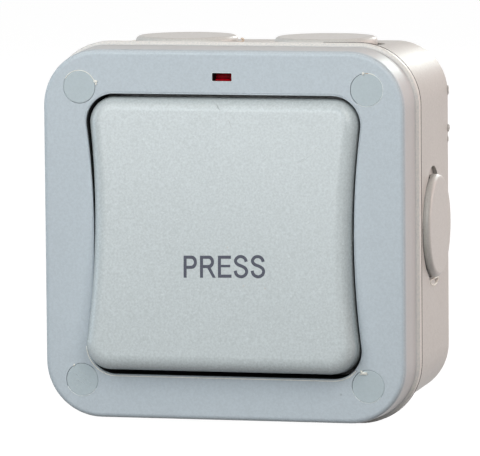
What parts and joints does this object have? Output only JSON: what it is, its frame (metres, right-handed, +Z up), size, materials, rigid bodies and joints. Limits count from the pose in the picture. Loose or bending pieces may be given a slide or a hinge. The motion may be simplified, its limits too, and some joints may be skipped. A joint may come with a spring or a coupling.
{
  "type": "outdoor weatherproof switch",
  "caption": "Surface-mounted weatherproof push switch: moulded back box, sealed cover with capped screws, wide sprung press rocker, neon indicator and plugged cable entries.",
  "frame": {"origin": "centre of the back box's flat back face, where it meets the wall", "axes": "+Z up, front and rocker face -Y, +Y points into the wall, +X to the right seen from the front"},
  "size_m": [0.0922, 0.0602, 0.0922],
  "materials": {
    "cover_plastic": "fine spark-eroded blue-grey moulding",
    "box_plastic": "satin warm grey moulding",
    "rocker_plastic": "fine grained light grey moulding",
    "cap_plastic": "satin grey moulding",
    "plug_plastic": "satin warm grey moulding",
    "seal_rubber": "soft matt silicone rubber",
    "neon_red": "clear red moulding",
    "lamp_glass": "clear glass tube",
    "holder_plastic": "natural nylon",
    "resistor_body": "lacquered tan",
    "mechanism_plastic": "off-white urea moulding",
    "dolly_plastic": "white acetal",
    "brass": "turned and pressed brass",
    "contact_silver": "silver contact tips",
    "screw_steel": "zinc plated",
    "spring_steel": "drawn stainless wire"
  },
  "bodies": {
    "enclosure": {"front_cover": "cover_plastic", "back_box": "box_plastic", "screw_cap_top_left": "cap_plastic", "screw_cap_top_right": "cap_plastic", "screw_cap_bottom_left": "cap_plastic", "screw_cap_bottom_right": "cap_plastic", "entry_plug_top_left": "plug_plastic", "entry_plug_top_right": "plug_plastic", "entry_plug_bottom_left": "plug_plastic", "entry_plug_bottom_right": "plug_plastic", "entry_plug_left": "plug_plastic", "entry_plug_right": "plug_plastic", "box_gasket": "seal_rubber", "rocker_seal": "seal_rubber", "neon_lens": "neon_red", "neon_lamp": "lamp_glass", "neon_holder": "holder_plastic", "neon_resistor": "resistor_body", "switch_housing": "mechanism_plastic", "common_terminal": "brass", "upper_terminal": "brass", "lower_terminal": "brass", "earth_terminal": "brass", "fixed_contact_tips": "contact_silver", "cover_screws": "screw_steel", "terminal_screws": "screw_steel", "housing_screws": "screw_steel", "earth_screw": "screw_steel", "return_spring": "spring_steel"},
    "rocker": {"press_rocker": "rocker_plastic"},
    "dolly": {"dolly": "dolly_plastic", "plunger": "brass", "plunger_spring": "spring_steel"},
    "moving_contact": {"moving_contact": "brass", "moving_contact_tips": "contact_silver"}
  },
  "joints": [
    {"name": "rocker_pivot", "type": "hinge", "parent": "enclosure", "child": "rocker", "pos_m": [0, -0.0497, 0], "axis": [1, 0, 0], "range_deg": [0, 8.5], "stiffness_Nm_per_rad": 0.25, "springref_deg": -17.19, "deforming": ["return_spring", "rocker_seal"]},
    {"name": "dolly_pivot", "type": "hinge", "parent": "enclosure", "child": "dolly", "pos_m": [0, -0.034, 0], "axis": [1, 0, 0], "range_deg": [-9.6, 0]},
    {"name": "contact_pivot", "type": "hinge", "parent": "enclosure", "child": "moving_contact", "pos_m": [0, -0.0252, 0], "axis": [1, 0, 0], "range_deg": [0, 8.3]}
  ],
  "couplings": [
    {"joint": "dolly_pivot", "follows": "rocker_pivot", "ratio": -1.0933},
    {"joint": "contact_pivot", "follows": "rocker_pivot", "ratio": 0.9412}
  ]
}
